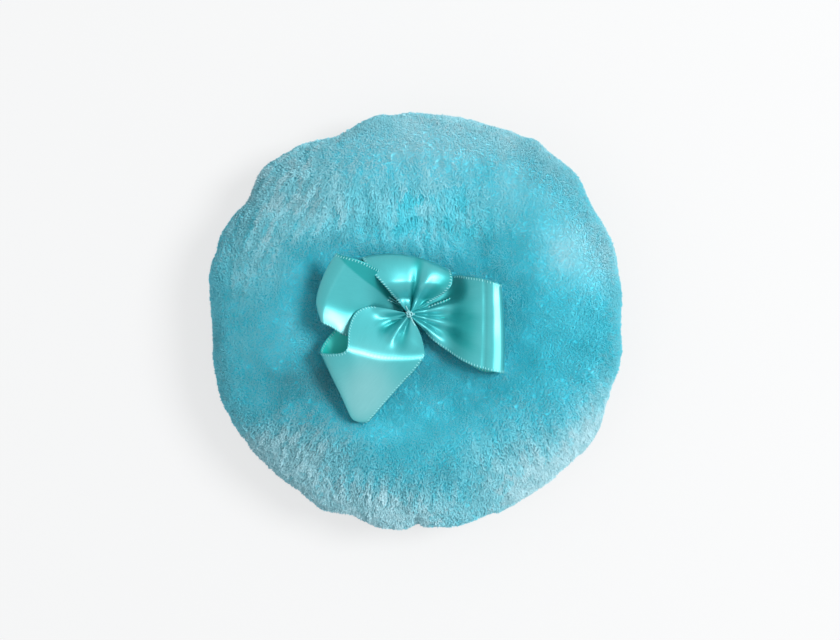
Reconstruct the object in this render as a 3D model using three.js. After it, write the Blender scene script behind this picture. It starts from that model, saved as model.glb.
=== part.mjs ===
import * as THREE from "three";

// Powder puff: a plush cushion lying on its applying face, with a satin bow tied to the middle of its top.
// Driving dimensions in millimetres, angles in degrees. +Z is up and the bow's axis is the Z axis.

const clearance = 0.3;

// Cushion
const pileRadius = 51;
const pileLength = 8.5;
const seamHeight = 13;
const crownRise = 15.5;
const restRadius = 33;
const nestDepth = 4.2;
const nestInner = 20;
const nestOuter = 33;
const clothThickness = 1;
const seamAllowance = 6;

// Threads
const threadSize = 0.5;
const machineStitch = 7;
const handStitch = 5;
const stitchSwing = 0.9;
const closingArc = 46;
const gatherRadius = 1;
const gatherTurns = 4;
const gatherPitch = 1.05;
const knotSize = 1.1;
const stopKnotRadius = 1.5;

// Bow
const ribbonWidth = 22;
const ribbonThickness = 0.45;
const rootRadius = 1.8;
const rootWidth = 2.2;
const plyStep = 1.1;
const layerRise = 2;
const layers = 2;
const pleatHeight = 0.65;
const pleatCount = 2.5;
const pleatPlace = 0.2;

// Each loop: its heading in plan, its reach from the axis, the share of the reach over which it spreads to full
// width, the height of its opening, its sideways tilt, where its crest lies along the reach, how far crest and
// end fold slant across the ribbon, the bulge of the fold, and its layer in the gather.
const leftLoop = {
  heading: 166, reach: 23, spread: 1, opening: 3.8, tilt: -17,
  crest: 0.76, crestSlant: 0, foldSlant: 0, foldBulge: 2.3, layer: 0,
};
const topLoop = {
  heading: 95, reach: 14.5, spread: 1, opening: 5, tilt: 4,
  crest: 0.6, crestSlant: 0, foldSlant: 3.4, foldBulge: 1.9, layer: 1,
};
const rightLoop = {
  heading: -9, reach: 21.6, spread: 0.8, opening: 6.2, tilt: 9,
  crest: 0.8, crestSlant: 0, foldSlant: -1.9, foldBulge: 0.4, layer: 1,
};
const lowerLoop = {
  heading: 228, reach: 25, spread: 0.5, opening: 6.8, tilt: -20,
  crest: 0.51, crestSlant: -0.26, foldSlant: 2.2, foldBulge: 0.6, layer: 2,
};

// The rim is no true circle: the tack sits a little off its middle, and it is squarish with soft lobes.
const rimLobes = [
  { count: 1, size: 1.1, turn: -34 },
  { count: 3, size: 0.44, turn: 92 },
  { count: 4, size: 0.71, turn: -155 },
  { count: 9, size: 0.35, turn: 82 },
];

// Worked-out sizes
const clothRadius = pileRadius - pileLength;
const clothRise = crownRise - pileLength;
const clothDrop = seamHeight - 0.8 * pileLength;
const allowanceRadius = clothRadius - seamAllowance;
const seamLine = clothRadius - 0.55 * seamAllowance;
const seamHalf = threadSize / 2 + 0.6 * clearance;
const anchorRadius = gatherRadius - threadSize / 2 - clearance;
const clothHole = anchorRadius + clearance;
const pileHole = gatherRadius + threadSize / 2 + 1.5 * clearance;
const stopKnotHeight = clothTop(0, clothThickness) - clearance - stopKnotRadius;
const waistHeight = pileTop(0) + clearance + ribbonThickness;
const gatherTop = waistHeight + layers * layerRise + plyStep + ribbonThickness / 2;

function radians(degrees) {
  return THREE.MathUtils.degToRad(degrees);
}

function smooth(share) {
  return THREE.MathUtils.smoothstep(share, 0, 1);
}

function dome(radius, rim, rise, power) {
  return rise * Math.sqrt(Math.max(0, 1 - (radius / rim) ** power));
}

// The hollow that the bow lies in.
function nest(radius) {
  return nestDepth * (1 - THREE.MathUtils.smoothstep(radius, nestInner, nestOuter));
}

function pileTop(radius) {
  return seamHeight + dome(radius, pileRadius, crownRise, 3.4) - nest(radius);
}

function pileBottom(radius) {
  return seamHeight - dome(Math.max(0, radius - restRadius), pileRadius - restRadius, seamHeight, 2);
}

// Ground cloth surfaces, moved inwards by an inset. The tack draws the upper one down in the middle.
function clothTop(radius, inset) {
  const drawn = 0.75 * nest(radius) * (1 - smooth(radius / clothRadius));
  return seamHeight + dome(radius, clothRadius - inset, clothRise - inset, 3.4) - drawn;
}

function clothBottom(radius, inset) {
  return seamHeight - dome(radius, clothRadius - inset, clothDrop - inset, 4);
}

// Points of a height over radius, closer together towards the rim, where it turns.
function meridian(from, to, steps, height) {
  const points = [];
  for (let step = 0; step <= steps; step += 1) {
    const radius = from + (to - from) * Math.sin((Math.PI * step) / (2 * steps));
    points.push(new THREE.Vector2(radius, height(radius)));
  }
  return points;
}

function point(radius, height) {
  return new THREE.Vector2(radius, height);
}

// A profile of radius and height, turned about the Z axis.
function turned(profile, segments) {
  const geometry = new THREE.LatheGeometry(profile, segments);
  geometry.rotateX(Math.PI / 2);
  return geometry;
}

// Moves the pile's outer rim onto its lobed outline and leaves what lies over the ground cloth as it is.
function lobed(geometry) {
  const place = geometry.getAttribute("position");
  for (let index = 0; index < place.count; index += 1) {
    const x = place.getX(index);
    const y = place.getY(index);
    const radius = Math.hypot(x, y);
    const share = THREE.MathUtils.smoothstep(radius, clothRadius + 2 * clearance, pileRadius);
    let push = 0;
    for (const lobe of rimLobes) {
      push += lobe.size * Math.cos(lobe.count * Math.atan2(y, x) - radians(lobe.turn));
    }
    const scale = share > 0 ? 1 + (push * share) / radius : 1;
    place.setXY(index, x * scale, y * scale);
  }
  return geometry;
}

function topPile() {
  const seat = seamHeight + clearance / 2;
  const under = meridian(pileHole, clothRadius + clearance, 7, (r) => Math.max(seat, clothTop(r, -clearance)));
  const tips = meridian(pileHole, pileRadius, 12, (r) => Math.max(seat, pileTop(r))).reverse();
  return lobed(turned([...under, ...tips, under[0].clone()], 54));
}

function bottomPile() {
  const seat = seamHeight - clearance / 2;
  const tips = meridian(restRadius, pileRadius, 6, (r) => Math.min(seat, pileBottom(r)));
  const over = meridian(0, clothRadius + clearance, 7, (r) => Math.min(seat, clothBottom(r, -clearance)));
  return lobed(turned([point(0, 0), ...tips, ...over.reverse()], 54));
}

// Knitted ground with its edge turned in as seam allowance.
function topGroundCloth() {
  const seat = seamHeight + seamHalf;
  const insideRim = 0.94 * (clothRadius - clothThickness);
  const inner = meridian(clothHole, insideRim, 6, (r) => clothTop(r, clothThickness));
  const outer = meridian(clothHole, clothRadius, 8, (r) => Math.max(seat, clothTop(r, 0))).reverse();
  const allowance = [
    point(insideRim, seat + clothThickness),
    point(allowanceRadius, seat + clothThickness),
    point(allowanceRadius, seat),
  ];
  return turned([...inner, ...allowance, ...outer, inner[0].clone()], 40);
}

function bottomGroundCloth() {
  const seat = seamHeight - seamHalf;
  const insideRim = 0.94 * (clothRadius - clothThickness);
  const outer = meridian(0, clothRadius, 8, (r) => Math.min(seat, clothBottom(r, 0)));
  const inner = meridian(0, insideRim, 6, (r) => clothBottom(r, clothThickness)).reverse();
  const allowance = [
    point(allowanceRadius, seat),
    point(allowanceRadius, seat - clothThickness),
    point(insideRim, seat - clothThickness),
  ];
  return turned([...outer, ...allowance, ...inner], 40);
}

// Soft core between the cloths, inside the seam allowance, with a well for the stop knot.
function fibrefillPad() {
  const rim = allowanceRadius - 2 * clearance;
  const inset = clothThickness + clearance;
  const well = stopKnotRadius + 2 * clearance;
  const wellFloor = stopKnotHeight - stopKnotRadius - clearance;
  const lower = meridian(0, rim, 6, (r) => clothBottom(r, inset));
  const upper = meridian(well, rim, 6, (r) => clothTop(r, inset)).reverse();
  return turned([...lower, ...upper, point(well, wellFloor), point(0, wellFloor)], 40);
}

function round(radius, sides) {
  const outline = new THREE.Shape();
  for (let side = 0; side < sides; side += 1) {
    const angle = (2 * Math.PI * side) / sides;
    const x = radius * Math.cos(angle);
    const y = radius * Math.sin(angle);
    side === 0 ? outline.moveTo(x, y) : outline.lineTo(x, y);
  }
  return outline;
}

function thread(points, steps) {
  const path = new THREE.CatmullRomCurve3(points);
  const options = { steps, extrudePath: path, bevelEnabled: false };
  return new THREE.ExtrudeGeometry(round(threadSize / 2, 6), options);
}

// Zigzag seam between the two turned-in edges, from one angle round to another.
function seam(from, to, stitch) {
  const stitches = Math.round((seamLine * radians(to - from)) / stitch);
  const points = [];
  for (let half = 0; half <= 2 * stitches; half += 1) {
    const angle = radians(from + ((to - from) * half) / (2 * stitches));
    const radius = seamLine + (half % 2 === 0 ? stitchSwing : -stitchSwing);
    points.push(new THREE.Vector3(radius * Math.cos(angle), radius * Math.sin(angle), seamHeight));
  }
  return thread(points, 4 * stitches);
}

// Least gap between stretches of a thread that lie more than a few threads apart along it.
function leastGap(points) {
  let least = Infinity;
  let apart = 0;
  for (let first = 0; first < points.length; first += 1) {
    apart = 0;
    for (let second = first + 1; second < points.length; second += 1) {
      apart += points[second].distanceTo(points[second - 1]);
      if (apart > 5 * threadSize) {
        least = Math.min(least, points[first].distanceTo(points[second]));
      }
    }
  }
  return least - threadSize;
}

// Thread wound round the gathered roots of the loops, its ends running straight up and down.
function gatherThread() {
  const low = gatherTop - gatherTurns * gatherPitch - threadSize;
  const stepsPerTurn = 16;
  const points = [];
  for (let step = 0; step <= gatherTurns * stepsPerTurn; step += 1) {
    const angle = (2 * Math.PI * step) / stepsPerTurn;
    const height = low + (gatherPitch * step) / stepsPerTurn;
    points.push(new THREE.Vector3(gatherRadius * Math.cos(angle), gatherRadius * Math.sin(angle), height));
  }
  const down = points[0].clone().setZ(low - 1.5 * threadSize);
  const up = points[points.length - 1].clone().setZ(gatherTop + threadSize);
  const winding = [down, ...points, up];
  const measured = new THREE.CatmullRomCurve3(winding).getSpacedPoints(400);
  console.log(`gather thread: least gap to itself ${leastGap(measured).toFixed(2)} mm`);
  return thread(winding, gatherTurns * stepsPerTurn + 6);
}

function centreKnot() {
  const geometry = new THREE.TorusKnotGeometry(knotSize, 0.4 * threadSize, 42, 6, 2, 3);
  geometry.translate(0, 0, gatherTop + 2 * threadSize + clearance + 0.5 * knotSize + 0.4 * threadSize);
  return geometry;
}

function anchorThread() {
  const low = stopKnotHeight + stopKnotRadius + clearance / 2;
  const high = waistHeight + layerRise;
  const geometry = new THREE.CylinderGeometry(anchorRadius, anchorRadius, high - low, 10);
  geometry.rotateX(Math.PI / 2);
  geometry.translate(0, 0, (low + high) / 2);
  return geometry;
}

function anchorKnot() {
  const geometry = new THREE.SphereGeometry(stopKnotRadius, 12, 8);
  geometry.rotateX(Math.PI / 2);
  geometry.translate(0, 0, stopKnotHeight);
  return geometry;
}

// How far a loop is open at a share of its reach: the upper ply climbs to the crest, both plies meet in the fold.
function upperPly(along, crest) {
  return along < crest ? smooth(along / crest) : 0.5 + dome(along - crest, 1 - crest, 0.5, 2);
}

function underPly(along, crest) {
  return along < crest ? 0 : 0.5 - dome(along - crest, 1 - crest, 0.5, 2);
}

// A loop's surface: length runs 0 to 1 out along the upper ply, round the fold and back along the under ply,
// side runs -1 to 1 across the ribbon.
function loopSurface(loop) {
  const half = ribbonWidth / 2;
  const turn = radians(loop.heading);
  const rootHeight = waistHeight + loop.layer * layerRise;
  const lowSide = half * Math.sin(Math.abs(radians(loop.tilt)));
  const endHeight = pileTop(loop.reach) + lowSide + ribbonThickness + 2 * clearance;
  return (length, side) => {
    const along = (1 - Math.cos(2 * Math.PI * length)) / 2;
    const settled = smooth(along / 0.6);
    const spread = 1 - Math.max(0, 1 - along / loop.spread) ** (2 - loop.spread);
    const crest = loop.crest + loop.crestSlant * side;
    const open = length < 0.5 ? upperPly(along, crest) : underPly(along, crest);
    const pleatShare = (along / pleatPlace) * Math.exp(1 - along / pleatPlace) * Math.max(0, 1 - 2 * length);
    const pleat = pleatHeight * pleatShare * Math.cos(Math.PI * pleatCount * side);
    const across = side * (rootWidth / 2 + (half - rootWidth / 2) * spread);
    const rise = plyStep * (1 - length) + loop.opening * open + pleat;
    const tilt = radians(loop.tilt) * settled;
    const fold = along * (loop.foldSlant - loop.foldBulge * side) * side;
    const out = rootRadius + (loop.reach - rootRadius) * along + fold;
    const left = across * Math.cos(tilt) - rise * Math.sin(tilt);
    const height = rootHeight + (endHeight - rootHeight) * settled + across * Math.sin(tilt) + rise * Math.cos(tilt);
    const x = out * Math.cos(turn) - left * Math.sin(turn);
    const y = out * Math.sin(turn) + left * Math.cos(turn);
    return new THREE.Vector3(x, y, height);
  };
}

// A thin sheet of even thickness that follows a surface.
function sheet(surface, lengthSteps, sideSteps) {
  const geometry = new THREE.BoxGeometry(2, 1, ribbonThickness, sideSteps, lengthSteps, 1);
  const place = geometry.getAttribute("position");
  const small = 1e-3;
  for (let index = 0; index < place.count; index += 1) {
    const side = place.getX(index);
    const length = place.getY(index) + 0.5;
    const middle = surface(length, side);
    const sideways = surface(length, side + small).sub(surface(length, side - small));
    const onwards = surface(length + small, side).sub(surface(length - small, side));
    const normal = sideways.cross(onwards).normalize();
    middle.addScaledVector(normal, place.getZ(index));
    place.setXYZ(index, middle.x, middle.y, middle.z);
  }
  return geometry;
}

function ribbonLoop(loop) {
  return sheet(loopSurface(loop), 26, 8);
}

const puff = new THREE.Group();
puff.name = "powder_puff";

function add(name, geometry, color, roughness) {
  const material = new THREE.MeshStandardMaterial({ color, roughness });
  const mesh = new THREE.Mesh(geometry, material);
  mesh.name = name;
  puff.add(mesh);
}

const pileColour = 0x62bfd2;
const clothColour = 0x3a97a6;
const ribbonColour = 0x3fb6bc;
const threadColour = 0xc4e6ea;

add("top_pile", topPile(), pileColour, 0.95);
add("bottom_pile", bottomPile(), pileColour, 0.95);
add("top_ground_cloth", topGroundCloth(), clothColour, 0.9);
add("bottom_ground_cloth", bottomGroundCloth(), clothColour, 0.9);
add("fibrefill_pad", fibrefillPad(), 0xf2f0ea, 0.95);
add("rim_seam_thread", seam(closingArc / 2, 360 - closingArc / 2, machineStitch), clothColour, 0.6);
add("closing_thread", seam(2 - closingArc / 2, closingArc / 2 - 2, handStitch), threadColour, 0.6);
add("anchor_thread", anchorThread(), threadColour, 0.6);
add("anchor_knot", anchorKnot(), threadColour, 0.6);
add("gather_thread", gatherThread(), threadColour, 0.6);
add("centre_knot", centreKnot(), threadColour, 0.6);
add("left_loop", ribbonLoop(leftLoop), ribbonColour, 0.35);
add("top_loop", ribbonLoop(topLoop), ribbonColour, 0.35);
add("right_loop", ribbonLoop(rightLoop), ribbonColour, 0.35);
add("lower_loop", ribbonLoop(lowerLoop), ribbonColour, 0.35);

export default puff;
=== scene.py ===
import math
import bpy
import bmesh
import numpy as np
from mathutils import Matrix, Vector


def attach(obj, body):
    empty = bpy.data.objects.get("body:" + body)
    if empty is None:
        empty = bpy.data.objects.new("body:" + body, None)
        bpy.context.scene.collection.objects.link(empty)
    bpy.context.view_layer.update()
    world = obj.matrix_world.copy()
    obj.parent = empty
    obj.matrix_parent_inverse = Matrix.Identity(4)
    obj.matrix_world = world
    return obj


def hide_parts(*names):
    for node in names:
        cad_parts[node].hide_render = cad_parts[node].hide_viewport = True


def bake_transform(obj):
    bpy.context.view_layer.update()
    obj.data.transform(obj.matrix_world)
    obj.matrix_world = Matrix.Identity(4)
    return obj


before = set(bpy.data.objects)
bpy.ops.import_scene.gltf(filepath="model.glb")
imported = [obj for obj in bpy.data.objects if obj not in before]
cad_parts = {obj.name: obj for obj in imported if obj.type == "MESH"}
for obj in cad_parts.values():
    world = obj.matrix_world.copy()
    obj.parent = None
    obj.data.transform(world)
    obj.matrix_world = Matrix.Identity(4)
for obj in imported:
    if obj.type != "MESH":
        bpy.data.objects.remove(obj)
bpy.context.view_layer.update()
scene = bpy.context.scene
scene.view_settings.view_transform = "Standard"
mm = 0.001
print("frame loaded:", len(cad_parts), "nodes")


# node maths: a socket with operators, one way to add any node, and short forms for the nodes used most

class Wire:
    def __init__(self, tree, socket=None):
        self.tree = tree
        self.socket = socket

    def node(self, kind, settings=None, values=None, out=0):
        made = self.tree.nodes.new(kind)
        for name, value in (settings or {}).items():
            if name == "stops":
                self.setStops(made.color_ramp, value)
            else:
                setattr(made, name, value)
        for name, value in (values or {}).items():
            self.feed(made, name, value)
        shown = [s for s in made.outputs if s.enabled]
        picked = next((s for s in shown if s.name == out), None)
        if picked is None and shown:
            picked = shown[out if isinstance(out, int) else 0]
        return Wire(self.tree, picked)

    def feed(self, made, name, value):
        shown = [s for s in made.inputs if s.enabled]
        target = shown[name] if isinstance(name, int) else next(s for s in shown if s.name == name)
        for each in value if isinstance(value, list) else [value]:
            if isinstance(each, Wire):
                self.tree.links.new(each.socket, target)
            else:
                target.default_value = (*each, 1) if target.type == "RGBA" else each

    def setStops(self, ramp, stops):
        while len(ramp.elements) < len(stops):
            ramp.elements.new(1.0)
        for element, (place, colour) in zip(ramp.elements, stops):
            element.position = place
            element.color = (*colour, 1)

    def maths(self, operation, first, second=None):
        pair = [first] if second is None else [first, second]
        kinds = [v.socket.type if isinstance(v, Wire) else None for v in pair]
        values = dict(enumerate(pair))
        if "VECTOR" not in kinds and "RGBA" not in kinds:
            return self.node("ShaderNodeMath", {"operation": operation}, values)
        plain = next((v for v, kind in zip(pair, kinds) if kind in (None, "VALUE")), None)
        if operation == "MULTIPLY" and plain is not None and not isinstance(plain, tuple):
            values = {"Vector": second if plain is first else first, "Scale": plain}
            operation = "SCALE"
        out = "Value" if operation in ("LENGTH", "DOT_PRODUCT") else 0
        return self.node("ShaderNodeVectorMath", {"operation": operation}, values, out)

    def apply(self, operation, other=None):
        return self.maths(operation, self, other)

    def part(self, axis):
        return self.node("ShaderNodeSeparateXYZ", values={0: self}, out=axis)

    def clamp(self, low=0.0, high=1.0):
        return self.node("ShaderNodeClamp", values={"Value": self, "Min": low, "Max": high})

    def noise(self, scale, detail, out=0):
        values = {"Vector": self, "Scale": scale, "Detail": detail}
        return self.node("ShaderNodeTexNoise", values=values, out=out)

    def bump(self, distance, strength):
        values = {"Height": self, "Distance": distance, "Strength": strength}
        return self.node("ShaderNodeBump", values=values)

    def ramp(self, stops):
        return self.node("ShaderNodeValToRGB", {"stops": stops}, {0: self})

    def mix(self, first, second):
        values = {"Factor": self, "A": first, "B": second}
        return self.node("ShaderNodeMix", {"data_type": "RGBA"}, values, "Result")

    def objectPlace(self):
        return self.node("ShaderNodeTexCoord", out="Object")

    def painted(self, label):
        return self.node("ShaderNodeAttribute", {"attribute_name": label}, out="Fac")

    def named(self, label, kind="FLOAT_VECTOR"):
        return self.node("GeometryNodeInputNamedAttribute", {"data_type": kind}, {"Name": label})


for symbol, operation in (("add", "ADD"), ("sub", "SUBTRACT"), ("mul", "MULTIPLY"), ("truediv", "DIVIDE")):
    setattr(Wire, "__%s__" % symbol, lambda self, other, does=operation: self.maths(does, self, other))
    setattr(Wire, "__r%s__" % symbol, lambda self, other, does=operation: self.maths(does, other, self))


def newMaterial(name):
    material = bpy.data.materials.new(name)
    material.use_nodes = True
    material.node_tree.nodes.clear()
    wire = Wire(material.node_tree)
    wire.material = material
    return wire


def closeMaterial(wire, shader):
    wire.node("ShaderNodeOutputMaterial", values={"Surface": shader})
    return wire.material


def finishSurface(wire, values):
    return closeMaterial(wire, wire.node("ShaderNodeBsdfPrincipled", values=values))


# the puff's own form, the same as its solids

form = {
    "pileRadius": 51 * mm,
    "pileLength": 8.5 * mm,
    "seamHeight": 13 * mm,
    "crownRise": 15.5 * mm,
    "crownPower": 3.4,
    "restRadius": 33 * mm,
    "nestDepth": 4.2 * mm,
    "nestInner": 20 * mm,
    "nestOuter": 33 * mm,
    "bankRise": 1 * mm,
    "bankInner": 9 * mm,
    "bankCrest": 18 * mm,
    "bankShoulder": 24 * mm,
    "bankOuter": 34 * mm,
    "clothThickness": 1 * mm,
    "clothPower": 4,  # of the bottom cloth's curve
    "clothDraw": 0.75,  # share of the nest that the bow draws into the cloth
    "underPile": 0.8,  # share of the pile's length under the puff
    # lobes of the rim: count, mm, degrees
    "rimLobes": [(1, 1.3, -46), (2, 0.25, 180), (3, 0.44, 92), (4, 0.71, -155), (9, 0.35, 82)],
    # scallops of the fur's edge: degrees, half width, mm
    "rimScallops": [(20, 6, 0.9), (41, 5, 0.7), (55, 3, 0.6), (100, 4, 1.0), (113, 6, -1.3), (133, 4, 0.5),
                    (142, 5, -1.3), (156, 5, 0.7), (167, 5, 0.7), (200, 13, 1.2), (238, 5, -0.9),
                    (252, 5, -1.7), (264, 4, 0.8), (272, 1.8, -1.2), (291, 3.5, -0.9), (327, 7, 0.6),
                    (349, 5, 1.1)],
}
clothRadius = form["pileRadius"] - form["pileLength"]
clothRise = form["crownRise"] - form["pileLength"]
clothDrop = form["seamHeight"] - form["underPile"] * form["pileLength"]


def smooth(share):
    share = np.clip(share, 0, 1)
    return share * share * (3 - 2 * share)


def dome(radius, rim, rise, power):
    return rise * np.sqrt(np.clip(1 - (np.asarray(radius) / rim) ** power, 0, None))


def nest(radius):
    reach = form["nestOuter"] - form["nestInner"]
    return form["nestDepth"] * (1 - smooth((np.asarray(radius) - form["nestInner"]) / reach))


def bank(radius):
    inside = smooth((radius - form["bankInner"]) / (form["bankCrest"] - form["bankInner"]))
    beyond = smooth((radius - form["bankShoulder"]) / (form["bankOuter"] - form["bankShoulder"]))
    return form["bankRise"] * inside * (1 - beyond)


def pileTop(radius):
    radius = np.asarray(radius)
    crown = dome(radius, form["pileRadius"], form["crownRise"], form["crownPower"])
    return form["seamHeight"] + crown - nest(radius) + bank(radius)


def pileBottom(radius):
    beyond = np.clip(np.asarray(radius) - form["restRadius"], 0, None)
    return form["seamHeight"] - dome(beyond, form["pileRadius"] - form["restRadius"], form["seamHeight"], 2)


def clothTop(radius, inset=0.0):
    drawn = form["clothDraw"] * nest(radius) * (1 - smooth(np.asarray(radius) / clothRadius))
    crown = dome(radius, clothRadius - inset, clothRise - inset, form["crownPower"])
    return form["seamHeight"] + crown - drawn


def clothBottom(radius, inset=0.0):
    return form["seamHeight"] - dome(radius, clothRadius - inset, clothDrop - inset, form["clothPower"])


def rimPush(angle):
    push = np.zeros_like(angle)
    for count, size, turn in form["rimLobes"]:
        push += size * mm * np.cos(count * angle - math.radians(turn))
    for place, wide, size in form["rimScallops"]:
        apart = (np.degrees(angle) - place + 180) % 360 - 180
        push += size * mm * np.exp(-(apart / wide) ** 2)
    return push


def meshFrom(name, points, faces, edges=()):
    mesh = bpy.data.meshes.new(name)
    mesh.from_pydata([tuple(p) for p in points], edges, [tuple(f) for f in faces])
    mesh.update()
    return mesh


def newObject(name, mesh, material=None):
    made = bpy.data.objects.new(name, mesh)
    scene.collection.objects.link(made)
    if material is not None:
        mesh.materials.clear()
        mesh.materials.append(material)
    return made


def setAttribute(mesh, label, values, kind="FLOAT"):
    attribute = mesh.attributes.new(label, kind, "POINT")
    values = np.asarray(values, np.float32).ravel()
    attribute.data.foreach_set("value" if kind == "FLOAT" else "vector", values)


def smoothFaces(mesh):
    mesh.polygons.foreach_set("use_smooth", np.ones(len(mesh.polygons), bool))


def gridFaces(rows, columns, wrap=False):
    faces = []
    for row in range(rows - 1):
        for column in range(columns if wrap else columns - 1):
            after = (column + 1) % columns
            faces.append((row * columns + column, row * columns + after,
                          (row + 1) * columns + after, (row + 1) * columns + column))
    return faces


def geometryTree(name, inputs):
    tree = bpy.data.node_groups.new(name, "GeometryNodeTree")
    tree.interface.new_socket("Geometry", in_out="INPUT", socket_type="NodeSocketGeometry")
    for label, kind in inputs.items():
        tree.interface.new_socket(label, in_out="INPUT", socket_type="NodeSocket" + kind)
    tree.interface.new_socket("Material", in_out="INPUT", socket_type="NodeSocketMaterial")
    tree.interface.new_socket("Geometry", in_out="OUTPUT", socket_type="NodeSocketGeometry")
    given = tree.nodes.new("NodeGroupInput")
    return tree, {s.name: Wire(tree, s) for s in given.outputs if s.name}


def closeTree(tree, given, made):
    values = {"Geometry": made, "Material": given["Material"]}
    end = tree.nodes.new("NodeGroupOutput")
    tree.links.new(made.node("GeometryNodeSetMaterial", values=values).socket, end.inputs["Geometry"])


def grown(name, mesh, tree, inputs, material, spare=()):
    carrier = newObject(name, mesh)
    modifier = carrier.modifiers.new("grown", "NODES")
    modifier.node_group = tree
    identifiers = {i.name: i.identifier for i in tree.interface.items_tree if i.in_out == "INPUT"}
    for label, value in {**inputs, "Material": material}.items():
        modifier[identifiers[label]] = value
    depsgraph = bpy.context.evaluated_depsgraph_get()
    depsgraph.update()
    made = bpy.data.meshes.new_from_object(carrier.evaluated_get(depsgraph), depsgraph=depsgraph)
    carrier.modifiers.remove(modifier)
    carrier.data = made
    made.name = name
    made.materials.clear()
    made.materials.append(material)
    for label in spare:
        if label in made.attributes:
            made.attributes.remove(made.attributes[label])
    return carrier


# plush pile: tufts of fine cut fibres grown on the ground cloth, with a combed nap

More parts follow.
